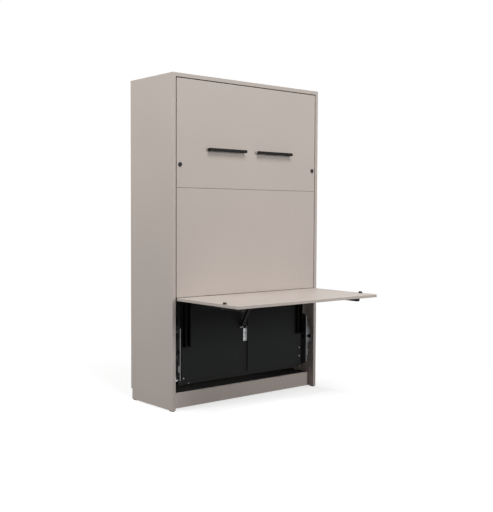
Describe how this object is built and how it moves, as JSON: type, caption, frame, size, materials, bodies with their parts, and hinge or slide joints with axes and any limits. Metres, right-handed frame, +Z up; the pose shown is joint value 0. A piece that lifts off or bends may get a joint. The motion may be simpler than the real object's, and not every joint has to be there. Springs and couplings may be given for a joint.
{
  "type": "wall bed with fold-down desk",
  "caption": "Upright single wall bed in a tall greige cabinet; the lower front panel hinges up as a desk, and the bed tilts down on side pivots with gas struts.",
  "frame": {"origin": "middle of the object's box, on the floor; the cabinet's front plane is at y = +0.0625 m", "axes": "+Z up, +Y from the desk to the wall, +X to the right as seen from the front"},
  "size_m": [1.28, 1.105, 2.15],
  "materials": {
    "greige_board": "matt laminate",
    "desk_laminate": "matt laminate",
    "dark_board": "matt laminate",
    "birch": "lacquered",
    "black_steel": "satin powder coat",
    "zinc": "zinc plated",
    "rod_chrome": "polished",
    "black_plastic": "matt",
    "rubber": "matt"
  },
  "bodies": {
    "cabinet": {"side_panel_left": "greige_board", "side_panel_right": "greige_board", "top_panel": "greige_board", "plinth_board": "greige_board", "bottom_panel": "dark_board", "back_rails": "greige_board", "glide_feet": "black_plastic", "pivot_plate_left": "zinc", "pivot_plate_right": "zinc", "pivot_pins": "black_steel", "plate_screws": "zinc", "strut_anchors": "zinc", "latch_keepers": "zinc"},
    "bed": {"panel_upper": "greige_board", "panel_middle": "greige_board", "side_rail_left": "black_steel", "side_rail_right": "black_steel", "centre_beam": "black_steel", "head_rail": "black_steel", "foot_rail": "black_steel", "cross_rails": "black_steel", "panel_rails": "black_steel", "infill_board_left": "dark_board", "infill_board_right": "dark_board", "board_screws": "zinc", "bed_bracket_left": "zinc", "bed_bracket_right": "zinc", "bracket_bolts": "zinc", "pivot_bushes": "black_plastic", "strut_studs": "zinc", "slats": "birch", "slat_holders": "black_plastic", "mattress_hoop_head": "black_steel", "mattress_hoop_foot": "black_steel", "support_channel_left": "black_steel", "support_channel_right": "black_steel", "stay_track": "zinc", "hinge_leaves_bed": "zinc", "hinge_pins": "zinc", "leg_brackets": "black_steel", "leg_pins": "zinc"},
    "desk": {"desk_board": "desk_laminate", "hinge_leaves_desk": "zinc", "desk_arm_left": "black_steel", "desk_arm_right": "black_steel", "stay_clevis": "black_steel"},
    "stay": {"stay_arm": "black_steel", "stay_roller": "zinc"},
    "left_strut_rod": {"strut_rod_left": "rod_chrome"},
    "right_strut_rod": {"strut_rod_right": "rod_chrome"},
    "left_strut_tube": {"strut_tube_left": "black_steel"},
    "right_strut_tube": {"strut_tube_right": "black_steel"},
    "left_bed_latch": {"bed_latch_left": "black_plastic"},
    "right_bed_latch": {"bed_latch_right": "black_plastic"},
    "left_desk_latch": {"desk_latch_left": "black_plastic"},
    "right_desk_latch": {"desk_latch_right": "black_plastic"},
    "left_leg": {"leg_left": "black_steel", "leg_foot_left": "rubber"},
    "right_leg": {"leg_right": "black_steel", "leg_foot_right": "rubber"}
  },
  "joints": [
    {"name": "bed_tilt", "type": "hinge", "parent": "cabinet", "child": "bed", "pos_m": [0, 0.1045, 0.372], "axis": [1, 0, 0], "range_deg": [0, 90]},
    {"name": "desk_fold", "type": "hinge", "parent": "bed", "child": "desk", "pos_m": [0, 0.0645, 0.726], "axis": [1, 0, 0], "range_deg": [0, 90]},
    {"name": "stay_swing", "type": "hinge", "parent": "desk", "child": "stay", "pos_m": [-0.032, -0.0125, 0.697], "axis": [1, 0, 0], "range_deg": [-117, 0]},
    {"name": "left_strut_swing", "type": "hinge", "parent": "bed", "child": "left_strut_rod", "pos_m": [-0.585, 0.1075, 0.19], "axis": [1, 0, 0], "range_deg": [-72.75, 0]},
    {"name": "left_strut_stroke", "type": "slide", "parent": "left_strut_rod", "child": "left_strut_tube", "axis": [0, -0.1692, -0.9856], "range_m": [0, 0.19061]},
    {"name": "right_strut_swing", "type": "hinge", "parent": "bed", "child": "right_strut_rod", "pos_m": [0.585, 0.1075, 0.19], "axis": [1, 0, 0], "range_deg": [-72.75, 0]},
    {"name": "right_strut_stroke", "type": "slide", "parent": "right_strut_rod", "child": "right_strut_tube", "axis": [0, -0.1692, -0.9856], "range_m": [0, 0.19061]},
    {"name": "left_bed_latch_turn", "type": "hinge", "parent": "bed", "child": "left_bed_latch", "pos_m": [-0.583, 0.0625, 1.576], "axis": [0, -1, 0], "range_deg": [0, 90]},
    {"name": "right_bed_latch_turn", "type": "hinge", "parent": "bed", "child": "right_bed_latch", "pos_m": [0.583, 0.0625, 1.576], "axis": [0, 1, 0], "range_deg": [0, 90]},
    {"name": "left_desk_latch_turn", "type": "hinge", "parent": "desk", "child": "left_desk_latch", "pos_m": [-0.594, -0.4095, 0.728], "axis": [0, 0, -1], "range_deg": [0, 90]},
    {"name": "right_desk_latch_turn", "type": "hinge", "parent": "desk", "child": "right_desk_latch", "pos_m": [0.594, -0.4095, 0.728], "axis": [0, 0, 1], "range_deg": [0, 90]},
    {"name": "left_leg_fold", "type": "hinge", "parent": "bed", "child": "left_leg", "pos_m": [-0.356, 0.0405, 1.681], "axis": [0, 0, -1], "range_deg": [0, 90]},
    {"name": "right_leg_fold", "type": "hinge", "parent": "bed", "child": "right_leg", "pos_m": [0.356, 0.0405, 1.681], "axis": [0, 0, 1], "range_deg": [0, 90]}
  ],
  "couplings": [
    {"joint": "stay_swing", "follows": "desk_fold", "ratio": -1.3},
    {"joint": "left_strut_swing", "follows": "bed_tilt", "ratio": -0.8083},
    {"joint": "left_strut_stroke", "follows": "bed_tilt", "m_per_rad": 0.12134},
    {"joint": "right_strut_swing", "follows": "bed_tilt", "ratio": -0.8083},
    {"joint": "right_strut_stroke", "follows": "bed_tilt", "m_per_rad": 0.12134}
  ]
}
